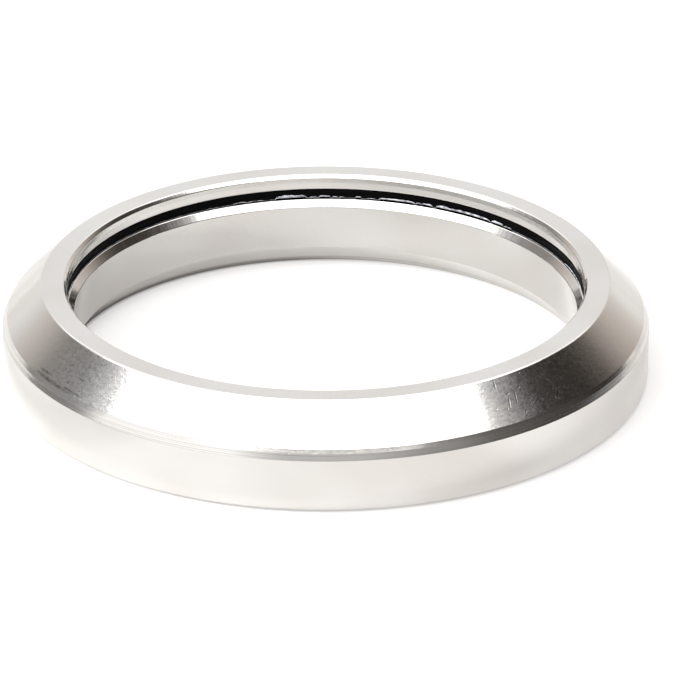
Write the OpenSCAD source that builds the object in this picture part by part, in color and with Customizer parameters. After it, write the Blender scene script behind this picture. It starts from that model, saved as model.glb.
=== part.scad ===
// Sealed 36 x 45 degree angular contact headset bearing, 52 mm size, lower position.
// It stands on the plane z = 0 and its axis is the Z axis. Sizes are in millimetres.
// The outer race carries its seat cone on the outside at the top, the inner race on the inside at
// the bottom, so load runs up and outwards through each ball at the contact angle.

/* [Races] */
// Outside diameter of the outer race
outer_d = 52; // [52:0.1:64]
// Bore diameter of the inner race
bore_d = 40.4; // [32:0.1:40.8]
// Height of the outer race, and of the whole bearing
race_h = 8; // [7.8:0.1:12]
// Drop from the outer race's top face to the inner race's
inner_drop = 2.1; // [2:0.05:2.3]

/* [Outer seat] */
// Angle of the seat cone, measured from the plane of the bearing
seat_angle = 45; // [40:1:50]
// Height of the seat cone
seat_h = 2.8; // [2:0.1:3]
// Height of the relief strip between the seat cone and the outside land
relief_h = 0.82; // [0.5:0.01:1]
// Depth of the relief strip at the foot of the seat cone
relief_w = 0.4; // [0.25:0.01:0.5]
// Height of the relief strip's upper facet, which leans more than its lower one
relief_facet_h = 0.32; // [0.2:0.01:0.4]
// Depth of the relief strip's upper facet
relief_facet_w = 0.18; // [0.1:0.01:0.2]
// Round at the bottom outside edge
foot_round = 0.5; // [0.1:0.05:0.6]

/* [Lip] */
// Height of the lip that reaches in over the inner race
lip_h = 1.3; // [1.1:0.05:1.4]
// Distance from the bore out to the lip's inner wall
lip_reach = 0.55; // [0.5:0.01:0.8]
// Width of the lead on the lip's top inside edge
lip_lead_w = 0.24; // [0.1:0.01:0.4]
// Height of the lead on the lip's top inside edge
lip_lead_h = 0.26; // [0.1:0.01:0.4]
// Height of the slight taper below the lip's lead
lip_taper_h = 0.4; // [0.2:0.05:0.5]
// Width of the slight taper below the lip's lead
lip_taper_w = 0.04; // [0.01:0.01:0.1]

/* [Inner race] */
// Height of the crown-race seat cone at the bottom of the bore
crown_seat_h = 1.65; // [1:0.05:1.8]
// Angle of the crown-race seat cone, measured from the bearing's axis
crown_angle = 36; // [30:1:45]
// Width of the lead at the top of the bore
bore_lead_w = 0.51; // [0.2:0.01:0.6]
// Height of the lead at the top of the bore
bore_lead_h = 0.57; // [0.2:0.01:0.7]

/* [Balls] */
// Ball diameter
ball_d = 3.175; // [2.6:0.005:3.9]
// Number of balls
ball_count = 32; // [24:1:38]
// Contact angle of the balls, measured from the plane of the bearing
contact_angle = 45; // [40:1:50]
// Groove radius as a share of the ball diameter
conformity = 0.53; // [0.515:0.005:0.55]
// Gap between a ball and each groove at the contact
ball_gap = 0.05; // [0.01:0.01:0.08]
// Step between a groove's bottom and the relieved wall beside it, which the balls snap over
snap_step = 0.05; // [0.02:0.01:0.08]
// Distance from the pitch circle to the shoulder of each race
shoulder_offset = 0.2; // [0.1:0.05:0.4]

/* [Cage] */
// Thickness of the cage fingers, along the contact line
finger_t = 1.5; // [1:0.1:1.7]
// Reach of the fingers past the ball centres
finger_reach = 1.15; // [0.9:0.05:1.2]
// Clearance round each ball in its pocket
pocket_gap = 0.1; // [0.05:0.01:0.15]
// Gap between the cage and either race
cage_gap = 0.15; // [0.1:0.01:0.2]
// Gap between the cage and the lower seal
cage_seal_gap = 0.25; // [0.2:0.05:0.5]
// Radius of the notch that splits each finger tip into two horns
notch_r = 0.4; // [0.2:0.05:0.45]

/* [Seals] */
// Height of the bead of each seal
seal_bead_h = 0.6; // [0.5:0.05:0.65]
// Thickness of the web of each seal
seal_web_t = 0.4; // [0.3:0.05:0.45]
// Depth of the groove that holds the upper seal's bead
upper_groove_w = 0.15; // [0.1:0.01:0.2]
// Depth of the groove that holds the lower seal's bead
lower_groove_w = 0.25; // [0.1:0.01:0.3]
// Fit of a seal's bead in its groove
seal_fit = 0.03; // [0.02:0.01:0.05]
// Gap between a seal's lip and the inner race
seal_gap = 0.08; // [0.06:0.01:0.1]
// Distance from the bore out to the upper seal's lip
upper_lip_reach = 0.58; // [0.5:0.01:0.6]
// Width of the nose at the bottom of the upper seal's lip
seal_nose_w = 0.12; // [0.05:0.01:0.15]
// Height of the nose's upper slope
seal_nose_h = 0.2; // [0.1:0.01:0.25]
// Width of each seal's lip
seal_lip_w = 0.5; // [0.3:0.05:0.6]
// Recess of the lower seal's bead above the bottom face
lower_recess = 0.35; // [0.3:0.05:0.5]

/* [Edges] */
// Round on the edges of the races
edge_round = 0.16; // [0.04:0.01:0.18]
// Round where the outside cone meets the top face
crest_round = 0.25; // [0.04:0.01:0.4]
// Round on the seals' noses
nose_round = 0.08; // [0.04:0.01:0.12]
// Round on the races' inner mouths and on the seals' beads
mouth_round = 0.15; // [0.1:0.01:0.2]
// Number of steps in each round
round_steps = 4; // [2:1:8]

/* [Hidden] */
$fn = 96;

// Overall places
outer_r = outer_d / 2;
bore_r = bore_d / 2;
inner_h = race_h - inner_drop;

// Ball circle, midway between the outside and the bore, and midway up
ball_r = ball_d / 2;
pitch_r = (outer_r + bore_r) / 2;
ball_z = race_h / 2;
pocket_r = ball_r + pocket_gap;
ball_step = 360 / ball_count;

// Raceway grooves: each one's centre lies past the ball's, away from its contact
groove_r = conformity * ball_d;
groove_shift = groove_r - ball_r - ball_gap;
shift_r = groove_shift * cos(contact_angle);
shift_z = groove_shift * sin(contact_angle);
outer_groove = [pitch_r - shift_r, ball_z - shift_z];
inner_groove = [pitch_r + shift_r, ball_z + shift_z];
outer_shoulder_r = pitch_r + shoulder_offset;
inner_shoulder_r = pitch_r - shoulder_offset;
outer_relieved_r = outer_groove[0] + groove_r - snap_step;
inner_relieved_r = inner_groove[0] - groove_r + snap_step;

// Outer race
relief_z = race_h - seat_h;
land_z = relief_z - relief_h;
annulus_r = outer_r - relief_w - seat_h / tan(seat_angle);
lip_r = bore_r + lip_reach;
lip_z = race_h - lip_h;
upper_groove_z = lip_z - seal_bead_h;
upper_groove_r = outer_shoulder_r + upper_groove_w;
lower_groove_z = lower_recess + seal_bead_h;
lower_groove_r = outer_relieved_r + lower_groove_w;

// Inner race
crown_seat_r = bore_r + crown_seat_h * tan(crown_angle);

// Cage: its fingers stand on the cone that passes through the ball centres, square to the contact line
cage_bottom_z = lower_groove_z + cage_seal_gap;
cage_outer_r = outer_relieved_r - cage_gap;
cage_inner_r = inner_shoulder_r + cage_gap;
finger_side = finger_t / 2;

// Names
function ball_name(i) = str("ball_", i < 10 ? "0" : "", i);

function unit(v) = v / norm(v);

// The small round at corner b, between its neighbours a and c. Each point is [radius, height, round].
function corner(a, b, c) =
    b[2] == 0 ? [[b[0], b[1]]] :
    let (
        here = [b[0], b[1]],
        back = unit([a[0], a[1]] - here),
        ahead = unit([c[0], c[1]] - here),
        half = acos(back * ahead) / 2,
        centre = here + unit(back + ahead) * b[2] / sin(half),
        from = here + back * b[2] / tan(half) - centre,
        turn = sign(ahead[1] * back[0] - ahead[0] * back[1]) * (180 - 2 * half)
    )
    [for (k = [0 : round_steps])
        let (angle = -turn * k / round_steps)
        centre + [
            from[0] * cos(angle) - from[1] * sin(angle),
            from[0] * sin(angle) + from[1] * cos(angle)
        ]
    ];

// An outline of [radius, height, round] points, with its corners rounded
function rounded(outline) =
    let (n = len(outline))
    [for (i = [0 : n - 1])
        each corner(outline[(i + n - 1) % n], outline[i], outline[(i + 1) % n])
    ];

module turned(outline) {
    rotate_extrude()
        polygon(rounded(outline));
}

// A turned ring with a ball groove cut round it
module grooved_ring(outline, groove) {
    rotate_extrude()
        difference() {
            polygon(rounded(outline));
            translate(groove)
                circle(r = groove_r);
        }
}

module outer_race() {
    color("#dedbd6")
        grooved_ring([
            [outer_relieved_r, 0, mouth_round],
            [outer_r, 0, foot_round],
            [outer_r, land_z, edge_round],
            [outer_r - relief_w + relief_facet_w, relief_z - relief_facet_h, edge_round],
            [outer_r - relief_w, relief_z, edge_round],
            [annulus_r, race_h, crest_round],
            [lip_r + lip_taper_w + lip_lead_w, race_h, edge_round],
            [lip_r + lip_taper_w, race_h - lip_lead_h, edge_round],
            [lip_r, race_h - lip_lead_h - lip_taper_h, 0],
            [lip_r, lip_z, edge_round],
            [upper_groove_r, lip_z, 0],
            [upper_groove_r, upper_groove_z, 0],
            [outer_shoulder_r, upper_groove_z, 0],
            [outer_shoulder_r, ball_z, 0],
            [outer_relieved_r, ball_z, 0],
            [outer_relieved_r, lower_groove_z, 0],
            [lower_groove_r, lower_groove_z, 0],
            [lower_groove_r, lower_recess, 0],
            [outer_relieved_r, lower_recess, 0]
        ], outer_groove);
}

module inner_race() {
    color("#d8d4cf")
        grooved_ring([
            [crown_seat_r, 0, edge_round],
            [inner_shoulder_r, 0, mouth_round],
            [inner_shoulder_r, ball_z, 0],
            [inner_relieved_r, ball_z, 0],
            [inner_relieved_r, inner_h, mouth_round],
            [bore_r + bore_lead_w, inner_h, edge_round],
            [bore_r, inner_h - bore_lead_h, edge_round],
            [bore_r, crown_seat_h, edge_round]
        ], inner_groove);
}

// Snapped in under the lip: a bead in the groove, a thin web, and a nosed lip just over the inner race
module upper_seal() {
    top_z = lip_z - seal_fit;
    lip_in_r = bore_r + upper_lip_reach;
    lip_bottom_z = inner_h + seal_gap;
    bead_bottom_z = upper_groove_z + seal_fit;
    bead_in_r = outer_shoulder_r - seal_lip_w;
    web_bottom_z = top_z - seal_web_t;
    color("#100e0e")
        turned([
            [lip_in_r - seal_nose_w, lip_bottom_z, nose_round],
            [lip_in_r + seal_lip_w, lip_bottom_z, 0],
            [lip_in_r + seal_lip_w, web_bottom_z, 0],
            [bead_in_r, web_bottom_z, 0],
            [bead_in_r, bead_bottom_z, 0],
            [upper_groove_r - seal_fit, bead_bottom_z, 0],
            [upper_groove_r - seal_fit, top_z, 0],
            [lip_in_r, top_z, nose_round],
            [lip_in_r, lip_bottom_z + seal_nose_h, nose_round]
        ]);
}

// Snapped into the outer race's bottom mouth, with its lip round the inner race's shoulder
module lower_seal() {
    bead_bottom_z = lower_recess + seal_fit;
    bead_top_z = lower_groove_z - seal_fit;
    bead_in_r = outer_relieved_r - seal_lip_w;
    lip_in_r = inner_shoulder_r + seal_gap;
    web_bottom_z = bead_top_z - seal_web_t;
    color("#100e0e")
        turned([
            [lip_in_r, bead_bottom_z, mouth_round],
            [lip_in_r + seal_lip_w, bead_bottom_z, mouth_round],
            [lip_in_r + seal_lip_w, web_bottom_z, 0],
            [bead_in_r, web_bottom_z, 0],
            [bead_in_r, bead_bottom_z, mouth_round],
            [lower_groove_r - seal_fit, bead_bottom_z, 0],
            [lower_groove_r - seal_fit, bead_top_z, 0],
            [lip_in_r, bead_top_z, 0]
        ]);
}

// Places a child at the centre of a ball, with its own Z along the contact line
module on_contact_line(angle) {
    rotate([0, 0, angle])
        translate([pitch_r, 0, ball_z])
            rotate([0, 90 - contact_angle, 0])
                children();
}

// A point of the cage's section: along the finger from the ball centre, and across it
function finger_point(along, across) = [
    pitch_r - along * sin(contact_angle) + across * cos(contact_angle),
    ball_z + along * cos(contact_angle) + across * sin(contact_angle)
];

// Height at which a face of the fingers meets the cage's wall of radius r
function finger_foot_z(r, across) =
    let (along = (pitch_r + across * cos(contact_angle) - r) / sin(contact_angle))
    finger_point(along, across)[1];

// The cage before its pockets are cut: a base ring under the balls, and the cone of the fingers
module cage_blank() {
    rotate_extrude()
        polygon([
            [cage_inner_r, cage_bottom_z],
            [cage_outer_r, cage_bottom_z],
            [cage_outer_r, finger_foot_z(cage_outer_r, finger_side)],
            finger_point(finger_reach, finger_side),
            finger_point(finger_reach, -finger_side),
            [cage_inner_r, finger_foot_z(cage_inner_r, -finger_side)]
        ]);
}

// Moulded crown cage: a ball-shaped pocket for each ball, open at the finger tips, where the ball snaps in
module ball_cage() {
    color("#e6e0cf")
        difference() {
            cage_blank();
            for (i = [0 : ball_count - 1]) {
                on_contact_line(i * ball_step)
                    sphere(r = pocket_r);
                on_contact_line((i + 0.5) * ball_step)
                    translate([-finger_reach, 0, 0])
                        cylinder(h = 4 * finger_t, r = notch_r, center = true);
            }
        }
}

module ball(i) {
    color("#c9cacc")
        on_contact_line((i - 1) * ball_step)
            sphere(r = ball_r);
}

outer_race();
inner_race();
upper_seal();
lower_seal();
ball_cage();
for (i = [1 : ball_count])
    ball(i);
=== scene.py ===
"""Looks of a sealed headset bearing: ground steel races, black rubber seals and a smear of grease."""

import math

import bmesh
import bpy
from mathutils import Matrix, Vector, noise


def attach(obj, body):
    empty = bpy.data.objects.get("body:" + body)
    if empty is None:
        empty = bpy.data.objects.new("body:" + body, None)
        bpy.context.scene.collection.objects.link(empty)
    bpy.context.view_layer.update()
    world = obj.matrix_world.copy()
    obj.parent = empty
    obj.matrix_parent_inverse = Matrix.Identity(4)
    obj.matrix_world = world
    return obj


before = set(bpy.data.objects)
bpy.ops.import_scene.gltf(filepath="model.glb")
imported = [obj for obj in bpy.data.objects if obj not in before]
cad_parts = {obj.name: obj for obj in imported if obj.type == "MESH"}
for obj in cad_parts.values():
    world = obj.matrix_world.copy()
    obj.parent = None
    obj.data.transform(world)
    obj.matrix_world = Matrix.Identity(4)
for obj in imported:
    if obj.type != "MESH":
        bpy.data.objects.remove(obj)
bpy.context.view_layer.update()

MM = 0.001
PHOTO_SIZE_PX = 679
# Mean radius of the rings, to turn an angle to millimetres round them
MEAN_RADIUS = 23.0
# Between the bore and the seat cone, in millimetres from the middle of the bottom
MID_WALL = 22
# Places on the outer race, along its profile (height less radius): middle and half the span, in millimetres
SEAT_CONE = (-17.6, 2.8)
RELIEF_STRIP = (-21.07, 0.6)


# Small helpers

def linear(hex_colour):
    """An sRGB hex colour as the linear red, green, blue and alpha that Blender wants."""
    channels = [int(hex_colour[i:i + 2], 16) / 255 for i in (1, 3, 5)]
    turned = [c / 12.92 if c <= 0.04045 else ((c + 0.055) / 1.055) ** 2.4 for c in channels]
    return (*turned, 1.0)


def add_node(tree, kind, inputs=None, **settings):
    """Adds a node. An input is linked when it is given a socket, and set when it is given a value."""
    node = tree.nodes.new(kind)
    for name, value in settings.items():
        setattr(node, name, value)
    for key, value in (inputs or {}).items():
        if isinstance(value, bpy.types.NodeSocket):
            tree.links.new(value, node.inputs[key])
        else:
            node.inputs[key].default_value = value
    return node


def new_material(name):
    """An empty node material, with its tree and its Principled shader wired to the output."""
    material = bpy.data.materials.new(name)
    material.use_nodes = True
    tree = material.node_tree
    tree.nodes.clear()
    shader = add_node(tree, "ShaderNodeBsdfPrincipled")
    output = add_node(tree, "ShaderNodeOutputMaterial")
    tree.links.new(shader.outputs["BSDF"], output.inputs["Surface"])
    return material, tree, shader


def turned_coordinates(tree):
    """Millimetres round the ring from the front, and along its turned profile, as one vector."""
    place = add_node(tree, "ShaderNodeTexCoord").outputs["Object"]
    x, y, z = add_node(tree, "ShaderNodeSeparateXYZ", {0: place}).outputs
    flat = add_node(tree, "ShaderNodeCombineXYZ", {0: x, 1: y}).outputs[0]
    radius = add_node(tree, "ShaderNodeVectorMath", {0: flat}, operation="LENGTH").outputs["Value"]
    forwards = add_node(tree, "ShaderNodeMath", {0: y, 1: -1.0}, operation="MULTIPLY").outputs[0]
    angle = add_node(tree, "ShaderNodeMath", {0: x, 1: forwards}, operation="ARCTAN2").outputs[0]
    around = add_node(tree, "ShaderNodeMath", {0: angle, 1: MEAN_RADIUS}, operation="MULTIPLY").outputs[0]
    profile = add_node(tree, "ShaderNodeMath", {0: z, 1: radius}, operation="SUBTRACT").outputs[0]
    along = add_node(tree, "ShaderNodeMath", {0: profile, 1: 1 / MM}, operation="MULTIPLY").outputs[0]
    return add_node(tree, "ShaderNodeCombineXYZ", {0: around, 1: along}).outputs[0]


def stretched_noise(tree, vector, lean, gap, length, detail=0.0, shift=0.0):
    """Noise drawn out into strokes: how far apart and how long they are, in millimetres, and their lean."""
    turned = add_node(tree, "ShaderNodeMapping", {
        "Vector": vector, "Location": (shift, shift, 0), "Rotation": (0, 0, math.radians(-lean)),
    }).outputs[0]
    drawn_out = add_node(tree, "ShaderNodeMapping", {
        "Vector": turned, "Scale": (1 / length, 1 / gap, 1),
    }).outputs[0]
    return add_node(tree, "ShaderNodeTexNoise", {
        "Vector": drawn_out, "Scale": 1.0, "Detail": detail, "Roughness": 0.6,
    }).outputs["Fac"]


def ramp_along(tree, value, unit, stops, tints):
    """Brightness along a value. Each stop is its place in that unit: its brightness, and some are tinted."""
    reach = max(abs(at) for at in stops)
    share = add_node(tree, "ShaderNodeMapRange", {
        "Value": value, "From Min": -reach * unit, "From Max": reach * unit,
    }).outputs[0]
    node = add_node(tree, "ShaderNodeValToRGB", {"Fac": share})
    elements = node.color_ramp.elements
    while len(elements) < len(stops):
        elements.new(0.5)
    for element, (at, brightness) in zip(elements, stops.items()):
        element.position = (at + reach) / (2 * reach)
        element.color = (*(brightness * part for part in tints.get(at, (1, 1, 1))), 1)
    return node.outputs["Color"]


# Materials

# Dents and scratches that the photo shows: degrees from the front, millimetres along the profile (height
# less radius), lean in degrees, length and width in millimetres
MARKS = [
    (34.1, -15.7, 84, 1.5, 0.24), (35.9, -17.0, 30, 0.5, 0.32), (39.0, -16.7, 0, 0.2, 0.16),
    (37.9, -19.5, 0, 0.2, 0.2), (34.6, -18.6, 0, 0.18, 0.18), (32.4, -18.3, 0, 0.16, 0.16),
    (40.5, -15.2, 20, 0.3, 0.22), (60.0, -16.6, 0, 0.3, 0.3), (45.3, -19.1, 75, 1.0, 0.22),
    (46.0, -19.5, 15, 0.5, 0.16), (50.7, -19.9, 0, 0.26, 0.24), (54.4, -19.2, 0, 0.2, 0.2),
    (54.1, -17.0, 0, 0.2, 0.18), (37.3, -17.6, 80, 2.0, 0.16), (35.5, -18.0, 78, 1.8, 0.16),
    (-55.8, -18.0, 0, 0.3, 0.26), (-52.4, -19.4, 60, 0.6, 0.36), (-42.0, -18.7, 0, 0.2, 0.2),
    (-55.5, -20.1, 8, 1.1, 0.22), (42.6, -24.4, -62, 0.9, 0.16), (38.5, -23.5, 85, 0.8, 0.1),
    (39.6, -23.7, 85, 0.5, 0.12), (34.4, -23.0, 0, 0.16, 0.16), (35.0, -22.8, 0, 0.16, 0.16),
    (33.4, -25.4, 0, 0.16, 0.16), (39.4, -24.8, 20, 0.5, 0.24), (40.1, -25.3, 0, 0.24, 0.2),
    (5.9, -21.4, 0, 0.8, 0.3), (-8.4, -14.8, 70, 0.5, 0.12), (17.4, -19.0, 0, 0.16, 0.16),
]

# Specks of dark grime, given in the same way. The long strokes left of the front, near -20 mm along the
# profile, are a painted shadow line along the seat cone's foot.
GRIME_AND_PAINTED_SHADE = [
    (-55.7, -18.1, 35, 0.5, 0.3), (-47.6, -17.0, -40, 0.5, 0.2), (-46.5, -17.3, -40, 0.5, 0.2),
    (-53.9, -15.2, 20, 0.5, 0.2), (-52.2, -15.4, 70, 0.4, 0.2), (-48.3, -15.3, -60, 0.5, 0.2),
    (-43.8, -15.0, 30, 0.3, 0.2), (-49.5, -15.9, 60, 0.7, 0.14), (-50.6, -16.4, 75, 0.8, 0.14),
    # These three long strokes are painted shade: a shadow line along the seat cone's foot at left
    (-57.0, -20.15, 0, 8.5, 0.8), (-51.0, -19.9, -3, 5.0, 0.5), (-60.0, -19.6, 5, 3.0, 0.6),
    (-53.0, -19.2, 70, 0.7, 0.3), (-55.0, -17.4, 40, 1.2, 0.4), (-50.4, -18.2, -12, 1.4, 0.3),
    (-8.4, -14.9, 0, 0.26, 0.2), (17.4, -19.0, 80, 0.36, 0.16), (-42.0, -18.6, 0, 0.2, 0.2),
    (-42.3, -18.6, 0, 0.2, 0.16), (-44.6, -19.0, 40, 0.3, 0.16), (-46.2, -18.0, -50, 0.5, 0.12),
    (35.7, -17.1, 30, 0.3, 0.22), (47.9, -16.1, 0, 0.3, 0.24), (50.2, -16.6, 60, 0.4, 0.14),
    (46.2, -18.9, 70, 1.2, 0.2), (47.6, -19.6, -20, 0.6, 0.2), (43.4, -16.2, 50, 0.5, 0.14),
    (38.2, -18.5, 65, 0.7, 0.12), (41.4, -17.8, -50, 0.6, 0.12), (36.4, -19.2, 70, 0.5, 0.1),
]


def spots(tree, surface, table):
    """Where the table's marks are, from 0 at each one's rim to 1 in its middle."""
    deepest = None
    for degrees, along, lean, length, width in table:
        inside = add_node(tree, "ShaderNodeMapping", {
            "Vector": surface,
            "Location": (math.radians(degrees) * MEAN_RADIUS, along, 0),
            "Rotation": (0, 0, math.radians(lean)),
            "Scale": (length / 2, width / 2, 1),
        }, vector_type="TEXTURE").outputs[0]
        far = add_node(tree, "ShaderNodeVectorMath", {0: inside}, operation="LENGTH").outputs["Value"]
        depth = add_node(tree, "ShaderNodeMapRange", {
            "Value": far, "From Min": 1.0, "From Max": 0.0,
        }, interpolation_type="SMOOTHSTEP").outputs[0]
        if deepest is None:
            deepest = depth
        else:
            deepest = add_node(tree, "ShaderNodeMath", {0: deepest, 1: depth}, operation="MAXIMUM").outputs[0]
    return deepest


def worn_places(tree, surface):
    """Where hair scratches dull the steel, from 0 to 1."""
    # They lean both ways. Real ones are some 0.02 mm wide, drawn here at 0.1 mm to show.
    falling = stretched_noise(tree, surface, lean=-62, gap=0.1, length=0.9)
    rising = stretched_noise(tree, surface, lean=48, gap=0.1, length=0.7, shift=31)
    either = add_node(tree, "ShaderNodeMath", {0: falling, 1: rising}, operation="MAXIMUM").outputs[0]
    hairs = add_node(tree, "ShaderNodeMapRange", {
        "Value": either, "From Min": 0.5, "From Max": 0.75,
    }).outputs[0]

    # Handling wore some patches more than others, each a few millimetres wide
    patches = add_node(tree, "ShaderNodeMapRange", {
        "Value": stretched_noise(tree, surface, lean=20, gap=2.2, length=3.0, detail=2.0, shift=7),
        "From Min": 0.35, "From Max": 0.65, "To Min": 0.55,
    }).outputs[0]
    return add_node(tree, "ShaderNodeMath", {0: hairs, 1: patches}, operation="MULTIPLY").outputs[0]


def steel_relief(tree, surface, worn):
    """The steel's normal, bent by grinding lines, dimples, scratches and dents."""
    # Grinding lines run round the ring. Real ones are a few microns apart, drawn here at 0.12 mm to show.
    lines = stretched_noise(tree, surface, lean=0, gap=0.12, length=9.0, detail=2.0)

    # Lapping left shallow dimples between them, a few tenths of a millimetre across
    dimples = add_node(tree, "ShaderNodeTexNoise", {
        "Vector": surface, "Scale": 1.9, "Detail": 2.0, "Roughness": 0.55,
    }).outputs["Fac"]

    # Each relief in turn, with its depth in millimetres. The dents go in, the rest stands out.
    reliefs = ((lines, 0.0005), (dimples, 0.004), (worn, 0.0004), (spots(tree, surface, MARKS), -0.0042))
    normal = None
    for height, depth in reliefs:
        bump = add_node(tree, "ShaderNodeBump", {
            "Strength": 1.0, "Distance": abs(depth) * MM, "Height": height,
        }, invert=depth < 0)
        if normal is not None:
            tree.links.new(normal, bump.inputs["Normal"])
        normal = bump.outputs[0]
    return normal


def oil_film(tree, place):
    """How thick the film of oil is, from 0 to 1. It is uneven over a centimetre or so."""
    film = add_node(tree, "ShaderNodeTexNoise", {
        "Vector": place, "Scale": 0.11 / MM, "Detail": 1.0,
    }).outputs["Fac"]
    return add_node(tree, "ShaderNodeMapRange", {
        "Value": film, "From Min": 0.35, "From Max": 0.65,
    }).outputs[0]


def grime_and_painted_shade(tree, surface):
    """Where the specks of grime and the painted shadow line at the seat cone's foot are, from 0 to 1. Each is
    thicker at some places.
    """
    thickness = add_node(tree, "ShaderNodeTexNoise", {
        "Vector": surface, "Scale": 3.0, "Detail": 3.0,
    }).outputs["Fac"]
    cover = add_node(tree, "ShaderNodeMath", {
        0: spots(tree, surface, GRIME_AND_PAINTED_SHADE), 1: thickness,
    }, operation="MULTIPLY").outputs[0]
    return add_node(tree, "ShaderNodeMapRange", {
        "Value": cover, "From Min": 0.12, "From Max": 0.55,
    }).outputs[0]


def finger_stains(tree, place, surface):
    """Faint stains, left and right of the front, where fingers held the bearing by its seat cone."""
    around, along, _ = add_node(tree, "ShaderNodeSeparateXYZ", {0: surface}).outputs

    # The bore has the cone's range along the profile, but is closer to the middle
    middle, reach = SEAT_CONE
    in_range = add_node(tree, "ShaderNodeMath", {
        0: along, 1: middle, 2: reach,
    }, operation="COMPARE").outputs[0]
    away = add_node(tree, "ShaderNodeVectorMath", {0: place}, operation="LENGTH").outputs["Value"]
    not_bore = add_node(tree, "ShaderNodeMath", {
        0: away, 1: MID_WALL * MM,
    }, operation="GREATER_THAN").outputs[0]

    # Each hand's place is 18 mm round from the front, and fades from 4 to 8 mm off its middle
    aside = add_node(tree, "ShaderNodeMath", {0: around}, operation="ABSOLUTE").outputs[0]
    past = add_node(tree, "ShaderNodeMath", {0: aside, 1: 18.0}, operation="SUBTRACT").outputs[0]
    off = add_node(tree, "ShaderNodeMath", {0: past}, operation="ABSOLUTE").outputs[0]
    held = add_node(tree, "ShaderNodeMapRange", {
        "Value": off, "From Min": 4.0, "From Max": 8.0, "To Min": 1.0, "To Max": 0.0,
    }, interpolation_type="SMOOTHSTEP").outputs[0]

    stains = add_node(tree, "ShaderNodeTexNoise", {
        "Vector": surface, "Scale": 2.4, "Detail": 2.0, "Distortion": 0.8,
    }).outputs["Fac"]
    stained = add_node(tree, "ShaderNodeMapRange", {
        "Value": stains, "From Min": 0.47, "From Max": 0.66,
    }).outputs[0]
    for limit in (in_range, not_bore, held):
        stained = add_node(tree, "ShaderNodeMath", {0: stained, 1: limit}, operation="MULTIPLY").outputs[0]
    return stained


def turning_marks(tree, surface):
    """Marks in the relief strip, which was only turned. They run all round.
    They are drawn 0.2 mm apart, twice what real ones are."""
    marks = add_node(tree, "ShaderNodeMapRange", {
        "Value": stretched_noise(tree, surface, lean=0, gap=0.2, length=30.0, detail=1.0, shift=11),
        "From Min": 0.45, "From Max": 0.6,
    }).outputs[0]
    _, along, _ = add_node(tree, "ShaderNodeSeparateXYZ", {0: surface}).outputs
    middle, reach = RELIEF_STRIP
    in_relief = add_node(tree, "ShaderNodeMath", {
        0: along, 1: middle, 2: reach,
    }, operation="COMPARE").outputs[0]
    return add_node(tree, "ShaderNodeMath", {0: marks, 1: in_relief}, operation="MULTIPLY").outputs[0]


def ground_steel():
    """Through-hardened bearing steel, turned, ground and handled.
    A smooth metal with a slightly warm cast. Lapping dimples and hair scratches mottle it and spread a haze
    beside each bright reflection. Dents catch the light, and specks of grime sit in some of them. The grime's
    colour also paints a shadow line along the seat cone's foot at left. The seat cone has faint stains, and
    the relief strip has turning marks."""
    material, tree, shader = new_material("ground_bearing_steel")
    place = add_node(tree, "ShaderNodeTexCoord").outputs["Object"]
    surface = turned_coordinates(tree)
    worn = worn_places(tree, surface)
    tree.links.new(steel_relief(tree, surface, worn), shader.inputs["Normal"])

    # Ground plateaus are nearly mirrors, the scratches between them are dull
    rough = add_node(tree, "ShaderNodeMapRange", {"Value": worn, "To Min": 0.08, "To Max": 0.2}).outputs[0]
    tree.links.new(rough, shader.inputs["Roughness"])

    # Over the clean steel: oil warms it, grime is old oil with steel dust in it, then the stains and marks.
    # The grime's colour also paints a shadow line along the seat cone's foot.
    colour = linear("#E9E7E4")
    for cover, tone in (
        (oil_film(tree, place), "#E2DEDA"),
        (grime_and_painted_shade(tree, surface), "#8C8680"),
        (finger_stains(tree, place, surface), "#CBCDCE"),
        (turning_marks(tree, surface), "#D6D2CD"),
    ):
        colour = add_node(tree, "ShaderNodeMix", {
            "Factor": cover, 6: colour, 7: linear(tone),
        }, data_type="RGBA").outputs[2]
    tree.links.new(colour, shader.inputs["Base Color"])
    shader.inputs["Metallic"].default_value = 1.0
    return material


def seal_rubber():
    """Nitrile rubber, compression moulded and full of carbon black.
    Deep black and close to matt, with a fine grain, and a little glossier where oil has bled onto it."""
    material, tree, shader = new_material("moulded_nitrile_rubber")
    surface = turned_coordinates(tree)
    grain = add_node(tree, "ShaderNodeTexNoise", {
        "Vector": surface, "Scale": 6.0, "Detail": 3.0,
    }).outputs["Fac"]
    bump = add_node(tree, "ShaderNodeBump", {"Strength": 0.5, "Distance": 0.01 * MM, "Height": grain})
    tree.links.new(bump.outputs[0], shader.inputs["Normal"])
    oil = stretched_noise(tree, surface, lean=0, gap=0.5, length=5.0, detail=2.0)
    rough = add_node(tree, "ShaderNodeMapRange", {
        "Value": oil, "From Min": 0.4, "From Max": 0.65, "To Min": 0.7, "To Max": 0.4,
    }).outputs[0]
    tree.links.new(rough, shader.inputs["Roughness"])
    shader.inputs["Base Color"].default_value = linear("#040404")
    shader.inputs["Specular IOR Level"].default_value = 0.05
    return material


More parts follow.
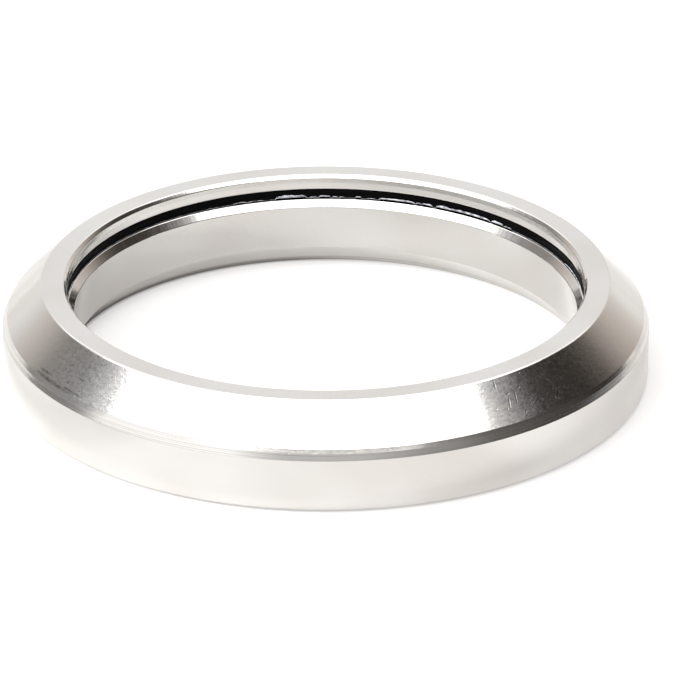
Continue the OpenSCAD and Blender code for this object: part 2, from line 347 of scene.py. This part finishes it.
def grease_and_painted_glints():
    """Lithium grease, pushed out along the seal's nose.
    Pale and faintly blue where it is thick, grey where the black rubber shows through, and wet all over. The
    pale patches are also painted glints of the softbox."""
    material, tree, shader = new_material("lithium_grease_and_painted_glints")
    surface = turned_coordinates(tree)
    thick = stretched_noise(tree, surface, lean=12, gap=0.25, length=0.9, detail=2.0, shift=3)
    depth = add_node(tree, "ShaderNodeMapRange", {
        "Value": thick, "From Min": 0.38, "From Max": 0.6,
    }).outputs[0]
    # The pale patches are partly the grease's own colour and partly painted glints of the softbox
    colour = add_node(tree, "ShaderNodeMix", {
        "Factor": depth, 6: linear("#6F7176"), 7: linear("#D9DCE4"),
    }, data_type="RGBA").outputs[2]
    tree.links.new(colour, shader.inputs["Base Color"])
    bump = add_node(tree, "ShaderNodeBump", {"Strength": 1.0, "Distance": 0.02 * MM, "Height": thick})
    tree.links.new(bump.outputs[0], shader.inputs["Normal"])
    shader.inputs["Roughness"].default_value = 0.18
    return material


def cage_nylon():
    """Nylon 66, injection moulded and undyed.
    Ivory, a little yellower along its flow lines, with the mould's fine grain and a low shine."""
    material, tree, shader = new_material("moulded_nylon")
    surface = turned_coordinates(tree)
    flow = stretched_noise(tree, surface, lean=8, gap=0.8, length=6.0, detail=3.0)
    colour = add_node(tree, "ShaderNodeMix", {
        "Factor": flow, 6: linear("#EAE5D6"), 7: linear("#DCD3BB"),
    }, data_type="RGBA").outputs[2]
    tree.links.new(colour, shader.inputs["Base Color"])
    grain = add_node(tree, "ShaderNodeTexNoise", {
        "Vector": surface, "Scale": 8.0, "Detail": 2.0,
    }).outputs["Fac"]
    bump = add_node(tree, "ShaderNodeBump", {"Strength": 0.4, "Distance": 0.01 * MM, "Height": grain})
    tree.links.new(bump.outputs[0], shader.inputs["Normal"])
    rough = add_node(tree, "ShaderNodeMapRange", {"Value": grain, "To Min": 0.36, "To Max": 0.5}).outputs[0]
    tree.links.new(rough, shader.inputs["Roughness"])
    return material


def lapped_steel():
    """Chrome steel balls, ground and lapped.
    Close to a mirror and faintly blue, with a thin haze of lapping scratches and patches of oil."""
    material, tree, shader = new_material("lapped_chrome_steel")
    place = add_node(tree, "ShaderNodeTexCoord").outputs["Object"]
    surface = add_node(tree, "ShaderNodeMapping", {
        "Vector": place, "Scale": (1 / MM, 1 / MM, 1 / MM),
    }).outputs[0]
    scratches = stretched_noise(tree, surface, lean=35, gap=0.06, length=0.8)
    bump = add_node(tree, "ShaderNodeBump", {"Strength": 1.0, "Distance": 0.0003 * MM, "Height": scratches})
    tree.links.new(bump.outputs[0], shader.inputs["Normal"])
    oil = add_node(tree, "ShaderNodeTexNoise", {
        "Vector": surface, "Scale": 0.9, "Detail": 2.0,
    }).outputs["Fac"]
    rough = add_node(tree, "ShaderNodeMapRange", {
        "Value": oil, "From Min": 0.4, "From Max": 0.7, "To Min": 0.04, "To Max": 0.16,
    }).outputs[0]
    tree.links.new(rough, shader.inputs["Roughness"])
    shader.inputs["Base Color"].default_value = linear("#DCDCDE")
    shader.inputs["Metallic"].default_value = 1.0
    return material


def give(node_names, material):
    """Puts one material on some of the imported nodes."""
    for name in node_names:
        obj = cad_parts[name]
        obj.data.materials.clear()
        obj.data.materials.append(material)


give(["outer_race", "inner_race"], ground_steel())
give(["upper_seal", "lower_seal"], seal_rubber())
give(["ball_cage"], cage_nylon())
give([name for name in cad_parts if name.startswith("ball_") and name != "ball_cage"], lapped_steel())


# Grease

# Where it is on the upper seal's nose: from and to, in degrees from the back with right plus, and how high it
# stands in millimetres. More than 50 degrees off the back the photo can't show it, and it is made up.
GREASE = [
    (-28.6, -27.6, 0.05), (-22.2, -18.8, 0.08), (-18.6, -14.4, 0.05), (-12.0, -4.6, 0.22), (-4.0, -2.2, 0.05),
    (-1.8, 1.0, 0.13), (1.4, 2.6, 0.07), (3.0, 4.2, 0.08), (6.8, 8.2, 0.11), (9.6, 11.4, 0.05),
    (12.2, 21.2, 0.13), (21.4, 22.6, 0.11), (22.8, 25.4, 0.12), (26.4, 30.0, 0.19), (29.6, 41.2, 0.17),
    (41.6, 45.2, 0.18), (45.4, 48.0, 0.08), (70, 84, 0.1), (96, 103, 0.13), (118, 131, 0.09),
    (149, 158, 0.14), (171, 176, 0.07), (-163, -151, 0.12), (-128, -117, 0.08), (-92, -80, 0.11),
]


def grease_height(degrees):
    """How high the grease stands at an angle from the back: 0 where there is none."""
    height = 0.0
    for start, end, tallest in GREASE:
        across = (2 * degrees - start - end) / (end - start)
        if abs(across) < 1:
            height = max(height, tallest * math.sqrt(1 - across ** 4))
    around = math.radians(degrees)
    place = Vector((math.sin(around), math.cos(around), 0)) * MEAN_RADIUS
    return height * (1 + 0.35 * noise.noise(place * 2.2) + 0.2 * noise.noise(place * 6.0))


def grease_bead():
    """A smear of grease along the upper seal's nose. A thin line of rubber shows below it."""
    lift = 0.1
    nose_radius = 20.7
    nose_bottom = 5.975
    thread = 0.01
    under_skin = 0.03
    shape = bmesh.new()

    # A fine thread first: a small circle at the back, spun once round the axis
    upright = Matrix.Translation((0, nose_radius, nose_bottom)) @ Matrix.Rotation(math.radians(90), 4, "Y")
    bmesh.ops.create_circle(shape, segments=12, radius=thread, matrix=upright)
    bmesh.ops.spin(
        shape, geom=shape.verts[:] + shape.edges[:], cent=(0, 0, 0), axis=(0, 0, 1), angle=math.radians(360),
        steps=1440, use_merge=True,
    )
    bmesh.ops.remove_doubles(shape, verts=shape.verts, dist=thread / 100)

    # Then it swells where there is grease. Between the smears it stays a thread, inside the rubber.
    for vert in shape.verts:
        outwards = Vector((vert.co.x, vert.co.y, 0)).normalized()
        height = grease_height(math.degrees(math.atan2(outwards.x, outwards.y)))
        sideways = (vert.co.dot(outwards) - nose_radius) / thread
        upwards = (vert.co.z - nose_bottom) / thread
        radius = nose_radius + (under_skin if height == 0 else 0) + (thread + 0.35 * height) * sideways
        vert.co = outwards * radius
        vert.co.z = nose_bottom + min(height, lift) + max(height / 2, thread) * (1.02 + upwards)
    bmesh.ops.scale(shape, vec=(MM, MM, MM), verts=shape.verts)
    bmesh.ops.recalc_face_normals(shape, faces=shape.faces)
    for face in shape.faces:
        face.smooth = True

    mesh = bpy.data.meshes.new("upper_seal_grease")
    shape.to_mesh(mesh)
    shape.free()
    mesh.materials.append(grease_and_painted_glints())
    bead = bpy.data.objects.new("upper_seal_grease", mesh)
    bpy.context.scene.collection.objects.link(bead)
    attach(bead, "outer")


grease_bead()


# Studio

# Where the softbox's edges are as seen from the bearing: their slopes from straight up, to the right and back
SOFTBOX_X = (-1.15, 0.83)
SOFTBOX_Y = (-1.38, 0.6)

# The tent's walls, in degrees from the camera with right plus: brightness. A white sweep is behind, a card at
# front left.
WALLS = {
    -180: 0.93, -148: 0.94, -136: 0.65, -123: 0.29, -98: 0.31, -91: 0.44, -82: 1.25, -33: 1.25,
    -24: 0.9, -14: 0.6, 12: 0.62, 24: 0.5, 36: 0.37, 48: 0.3, 60: 0.16, 82: 0.083, 108: 0.042,
    115: 0.05, 123: 0.14, 136: 0.55, 150: 0.82, 180: 0.93,
}

# Timber and cardboard round the tent tint its darker walls
WALL_TINTS = {
    -136: (1, 0.93, 0.88), -123: (1, 0.95, 0.9), -98: (0.98, 0.99, 1), 60: (1, 0.96, 0.92),
    82: (1, 0.94, 0.88), 108: (1, 0.86, 0.76), 115: (1, 0.86, 0.76), 123: (1, 0.88, 0.78),
    136: (1, 0.91, 0.84), 150: (1, 0.96, 0.92),
}


def tent_walls(tree, x, y):
    """The colour of the tent's wall in a direction."""
    forwards = add_node(tree, "ShaderNodeMath", {0: y, 1: -1.0}, operation="MULTIPLY").outputs[0]
    compass = add_node(tree, "ShaderNodeMath", {0: x, 1: forwards}, operation="ARCTAN2").outputs[0]
    return ramp_along(tree, compass, math.radians(1), WALLS, WALL_TINTS)


def ceiling_spill(tree, x, y, z):
    """The softbox's light on the ceiling round it, which fades in a short way from its edges."""
    steps_out = []
    for sideways, (low, high) in ((x, SOFTBOX_X), (y, SOFTBOX_Y)):
        middle = (low + high) / 2
        slope = add_node(tree, "ShaderNodeMath", {0: sideways, 1: z}, operation="DIVIDE").outputs[0]
        off = add_node(tree, "ShaderNodeMath", {0: slope, 1: middle}, operation="SUBTRACT").outputs[0]
        far = add_node(tree, "ShaderNodeMath", {0: off}, operation="ABSOLUTE").outputs[0]
        out = add_node(tree, "ShaderNodeMath", {0: far, 1: high - middle}, operation="SUBTRACT").outputs[0]
        steps_out.append(out)
    out = add_node(tree, "ShaderNodeMath", {0: steps_out[0], 1: steps_out[1]}, operation="MAXIMUM").outputs[0]
    fall = add_node(tree, "ShaderNodeMapRange", {
        "Value": out, "From Min": 0.0, "From Max": 0.38, "To Min": 0.88, "To Max": 0.0,
    }).outputs[0]
    spill = add_node(tree, "ShaderNodeMath", {0: fall, 1: 2.0}, operation="POWER").outputs[0]
    overhead = add_node(tree, "ShaderNodeMath", {0: z, 1: 0.0}, operation="GREATER_THAN").outputs[0]
    return add_node(tree, "ShaderNodeMath", {0: spill, 1: overhead}, operation="MULTIPLY").outputs[0]


def studio_world():
    """White to the camera. What the metal sees is a light tent round the bearing."""
    world = bpy.data.worlds.new("studio")
    bpy.context.scene.world = world
    world.use_nodes = True
    tree = world.node_tree
    tree.nodes.clear()
    towards = add_node(tree, "ShaderNodeTexCoord").outputs["Generated"]
    x, y, z = add_node(tree, "ShaderNodeSeparateXYZ", {0: towards}).outputs

    # The sweep behind is brighter higher up, which the rounded edge of the top face shows as a white line
    height = add_node(tree, "ShaderNodeMapRange", {
        "Value": z, "From Min": 0.47, "From Max": 0.56, "To Max": 0.5,
    }, interpolation_type="SMOOTHSTEP").outputs[0]
    behind = add_node(tree, "ShaderNodeMapRange", {
        "Value": y, "From Min": 0.5, "From Max": 0.62,
    }, interpolation_type="SMOOTHSTEP").outputs[0]
    sweep = add_node(tree, "ShaderNodeMath", {0: height, 1: behind}, operation="MULTIPLY").outputs[0]
    spill = ceiling_spill(tree, x, y, z)
    spill = add_node(tree, "ShaderNodeMath", {0: spill, 1: sweep}, operation="MAXIMUM").outputs[0]

    # Only the metal shows the spill: on the table its light is part of the lamps'
    path = add_node(tree, "ShaderNodeLightPath").outputs
    spill = add_node(tree, "ShaderNodeMath", {
        0: spill, 1: path["Is Glossy Ray"],
    }, operation="MULTIPLY").outputs[0]
    lit = add_node(tree, "ShaderNodeVectorMath", {
        0: tent_walls(tree, x, y), 1: spill,
    }, operation="ADD").outputs[0]

    # The foot of the dark walls is lit by the table
    foot = add_node(tree, "ShaderNodeMapRange", {
        "Value": z, "From Min": 0.0, "From Max": 0.2, "To Min": 0.58, "To Max": 0.0,
    }).outputs[0]
    foot = add_node(tree, "ShaderNodeMath", {0: foot, 1: 2.0}, operation="POWER").outputs[0]
    lit = add_node(tree, "ShaderNodeVectorMath", {0: lit, 1: foot}, operation="MAXIMUM").outputs[0]

    # The sweep behind runs down into the table's white without an edge
    low_down = add_node(tree, "ShaderNodeMapRange", {
        "Value": z, "From Min": 0.0, "From Max": 0.11, "To Min": 1.0, "To Max": 0.0,
    }, interpolation_type="SMOOTHSTEP").outputs[0]
    joined = add_node(tree, "ShaderNodeMath", {0: low_down, 1: behind}, operation="MULTIPLY").outputs[0]
    lit = add_node(tree, "ShaderNodeMix", {
        "Factor": joined, 6: lit, 7: linear("#F5F3F0"),
    }, data_type="RGBA").outputs[2]

    light = add_node(tree, "ShaderNodeMix", {
        "Factor": path["Is Camera Ray"], 6: lit, 7: (1, 1, 1, 1),
    }, data_type="RGBA").outputs[2]
    background = add_node(tree, "ShaderNodeBackground", {"Color": light, "Strength": 1.0})
    output = add_node(tree, "ShaderNodeOutputWorld")
    tree.links.new(background.outputs[0], output.inputs["Surface"])


def softbox():
    """A wide softbox overhead. Its edges are what the seat cone shows as the edges of the white."""
    height = 0.5
    left, right = (slope * height for slope in SOFTBOX_X)
    near, far = (slope * height for slope in SOFTBOX_Y)
    lamp = bpy.data.lights.new("softbox", "AREA")
    lamp.shape = "RECTANGLE"
    lamp.size = right - left
    lamp.size_y = far - near
    radiance = 1.35
    lamp.energy = radiance * math.pi * lamp.size * lamp.size_y
    obj = bpy.data.objects.new("softbox", lamp)
    obj.location = ((left + right) / 2, (near + far) / 2, height)
    obj.visible_camera = False
    bpy.context.scene.collection.objects.link(obj)


def key_light():
    """A lamp at back left. Its soft shadows dim the table inside the left wall and right of the ring."""
    size = 0.25
    lamp = bpy.data.lights.new("key_light", "AREA")
    lamp.size = size
    lamp.energy = 2.6
    away = 0.6
    compass, elevation = math.radians(-97), math.radians(40)
    obj = bpy.data.objects.new("key_light", lamp)
    towards = Vector((math.sin(compass) * math.cos(elevation), -math.cos(compass) * math.cos(elevation),
                      math.sin(elevation)))
    obj.location = towards * away
    obj.rotation_euler = towards.to_track_quat("Z", "Y").to_euler()
    obj.visible_camera = False
    obj.visible_glossy = False
    bpy.context.scene.collection.objects.link(obj)


def glow_inside(tree, x, from_axis):
    """What the metal sees the table glow with, inside the ring. It is shaded round the middle, darker towards
    the right wall, and brightest where the crown-race seat throws light down on it."""
    middle = ramp_along(tree, x, MM, {
        -14: 0.08, -5: 0.09, -2.2: 0.03, -0.5: 0.12, 0.6: 0.16, 2: 0.19, 6: 0.16, 9: 0.13, 14: 0.08,
    }, {})
    middle = add_node(tree, "ShaderNodeMath", {0: middle, 1: 0.2}, operation="SUBTRACT").outputs[0]
    by_the_wall = add_node(tree, "ShaderNodeMapRange", {
        "Value": x, "From Min": -6 * MM, "From Max": 6 * MM, "To Min": 0.0, "To Max": -0.1,
    }).outputs[0]
    glow = add_node(tree, "ShaderNodeMapRange", {
        "Value": from_axis, "From Min": 15.5 * MM, "From Max": 17 * MM,
        "To Min": middle, "To Max": by_the_wall,
    }).outputs[0]
    under_seat = add_node(tree, "ShaderNodeMapRange", {
        "Value": x, "From Min": -5 * MM, "From Max": 2 * MM, "To Min": 0.21, "To Max": 0.27,
    }, interpolation_type="SMOOTHSTEP").outputs[0]
    return add_node(tree, "ShaderNodeMapRange", {
        "Value": from_axis, "From Min": 18.5 * MM, "From Max": 20.5 * MM,
        "To Min": glow, "To Max": under_seat,
    }, interpolation_type="SMOOTHSTEP").outputs[0]


def glow_outside(tree, x, y, from_axis):
    """The same outside the ring. Close by the band throws light on it, and further out the tent does,
    unevenly. The far edges are darker, except behind."""
    uneven = ramp_along(tree, x, MM, {
        -60: 0.19, -32: 0.15, -28: 0.05, -24: 0.15, -21: 0.27, -12: 0.27, -4: 0.22, 3: 0.23, 8: 0.22,
        15: 0.17, 18: 0.18, 22: 0.29, 27: 0.295, 32: 0.2, 60: 0.17,
    }, {})
    behind = add_node(tree, "ShaderNodeMapRange", {
        "Value": y, "From Min": 40 * MM, "From Max": 75 * MM, "To Min": -0.37, "To Max": -0.16,
    }, interpolation_type="SMOOTHSTEP").outputs[0]
    edges = add_node(tree, "ShaderNodeMapRange", {
        "Value": from_axis, "From Min": 42 * MM, "From Max": 95 * MM, "To Min": -0.1, "To Max": behind,
    }).outputs[0]
    away = add_node(tree, "ShaderNodeMath", {0: uneven, 1: edges}, operation="ADD").outputs[0]
    return add_node(tree, "ShaderNodeMapRange", {
        "Value": from_axis, "From Min": 26 * MM, "From Max": 29 * MM, "To Min": 0.31, "To Max": away,
    }, interpolation_type="SMOOTHSTEP").outputs[0]


def dark_corner(tree, x, from_axis, within):
    """How much darker it is in the corner under the seat's foot, where no light gets in from the left."""
    corner = add_node(tree, "ShaderNodeMapRange", {
        "Value": from_axis, "From Min": 20.95 * MM, "From Max": 21.35 * MM,
    }, interpolation_type="SMOOTHSTEP").outputs[0]
    left = add_node(tree, "ShaderNodeMapRange", {
        "Value": x, "From Min": -4 * MM, "From Max": 9 * MM, "To Min": -0.25, "To Max": 0.0,
    }, interpolation_type="SMOOTHSTEP").outputs[0]
    corner = add_node(tree, "ShaderNodeMath", {0: corner, 1: left}, operation="MULTIPLY").outputs[0]
    return add_node(tree, "ShaderNodeMath", {0: corner, 1: within}, operation="MULTIPLY").outputs[0]


def pale_table():
    """A round pale table top. The camera sees it a little brighter, and it keeps the shadow. The metal sees
    the light that the polished walls and the tent throw on it."""
    shape = bmesh.new()
    bmesh.ops.create_circle(shape, cap_ends=True, segments=128, radius=150 * MM)
    mesh = bpy.data.meshes.new("floor")
    shape.to_mesh(mesh)
    shape.free()
    floor = bpy.data.objects.new("floor", mesh)
    bpy.context.scene.collection.objects.link(floor)
    material, tree, shader = new_material("floor_white")
    shader.inputs["Base Color"].default_value = linear("#C6C5C4")
    shader.inputs["Roughness"].default_value = 0.9
    shader.inputs["Specular IOR Level"].default_value = 0.0

    place = add_node(tree, "ShaderNodeTexCoord").outputs["Object"]
    from_axis = add_node(tree, "ShaderNodeVectorMath", {0: place}, operation="LENGTH").outputs["Value"]
    x, y, _ = add_node(tree, "ShaderNodeSeparateXYZ", {0: place}).outputs
    within = add_node(tree, "ShaderNodeMath", {
        0: from_axis, 1: MID_WALL * MM,
    }, operation="LESS_THAN").outputs[0]
    glow = add_node(tree, "ShaderNodeMix", {
        "Factor": within, 2: glow_outside(tree, x, y, from_axis), 3: glow_inside(tree, x, from_axis),
    }).outputs[0]
    path = add_node(tree, "ShaderNodeLightPath").outputs
    thrown = add_node(tree, "ShaderNodeMath", {
        0: path["Is Glossy Ray"], 1: glow,
    }, operation="MULTIPLY").outputs[0]
    seen = add_node(tree, "ShaderNodeMath", {
        0: path["Is Camera Ray"], 1: 0.45,
    }, operation="MULTIPLY").outputs[0]
    lift = add_node(tree, "ShaderNodeMath", {0: thrown, 1: seen}, operation="ADD").outputs[0]
    corner = dark_corner(tree, x, from_axis, within)
    lift = add_node(tree, "ShaderNodeMath", {0: lift, 1: corner}, operation="ADD").outputs[0]
    tree.links.new(lift, shader.inputs["Emission Strength"])
    shader.inputs["Emission Color"].default_value = (1, 1, 1, 1)
    mesh.materials.append(material)


def photo_camera():
    """The photograph's camera: 400 mm away, 25 degrees above the bearing, with a long lens."""
    distance = 0.4
    elevation = math.radians(25)
    target = Vector((1.11, 0, 2.47)) * MM
    focal_px = 4958
    camera = bpy.data.cameras.new("camera")
    camera.sensor_width = 36
    camera.lens = focal_px * camera.sensor_width / PHOTO_SIZE_PX
    obj = bpy.data.objects.new("camera", camera)
    back = Vector((0, -math.cos(elevation), math.sin(elevation)))
    obj.location = target + back * distance
    obj.rotation_euler = back.to_track_quat("Z", "Y").to_euler()
    bpy.context.scene.collection.objects.link(obj)
    bpy.context.scene.camera = obj


studio_world()
softbox()
key_light()
pale_table()
photo_camera()
bpy.context.scene.view_settings.view_transform = "Standard"
